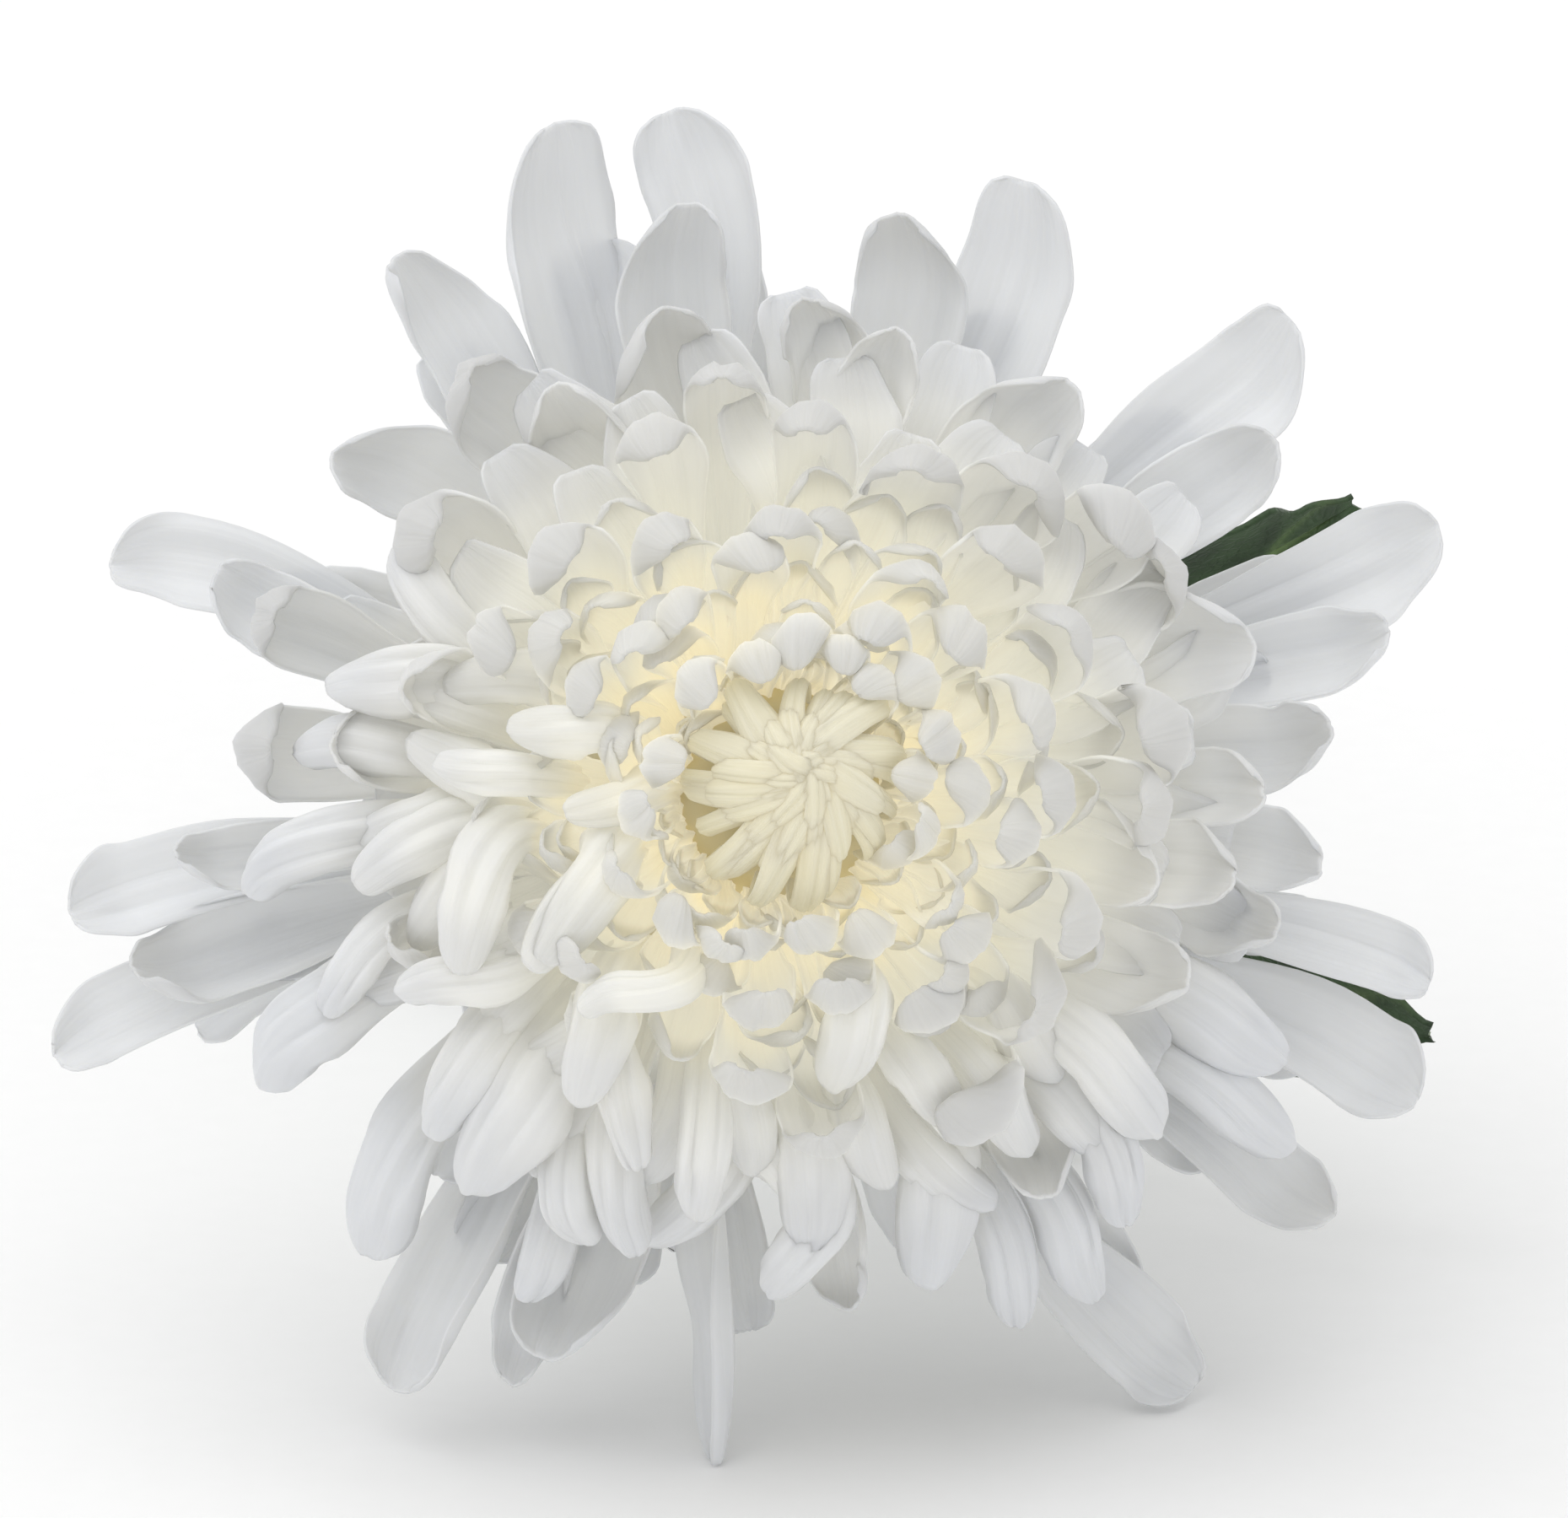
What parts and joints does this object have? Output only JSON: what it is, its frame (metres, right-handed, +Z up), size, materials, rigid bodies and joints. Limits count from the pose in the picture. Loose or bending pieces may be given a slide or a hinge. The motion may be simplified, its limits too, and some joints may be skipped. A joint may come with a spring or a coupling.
{
  "type": "cut chrysanthemum flower",
  "caption": "Cut disbud chrysanthemum laid down: one large domed head of long white florets with a cream centre, on a ribbed stem with lobed dark green leaves.",
  "frame": {"origin": "middle of the footprint on the surface that the flower lies on", "axes": "+Z up, +Y from the bloom along the stem to its cut end, +X to the right of somebody who faces the bloom"},
  "size_m": [0.1329, 0.2603, 0.1198],
  "materials": {
    "petal": "satin",
    "bract": "matte",
    "stem": "satin",
    "leaf": "matte"
  },
  "bodies": {
    "root": {"bloom": "petal", "involucre": "bract", "stem": "stem", "leaf_1": "leaf", "leaf_2": "leaf", "leaf_3": "leaf", "leaf_4": "leaf", "leaf_5": "leaf", "leaf_6": "leaf"}
  },
  "joints": []
}
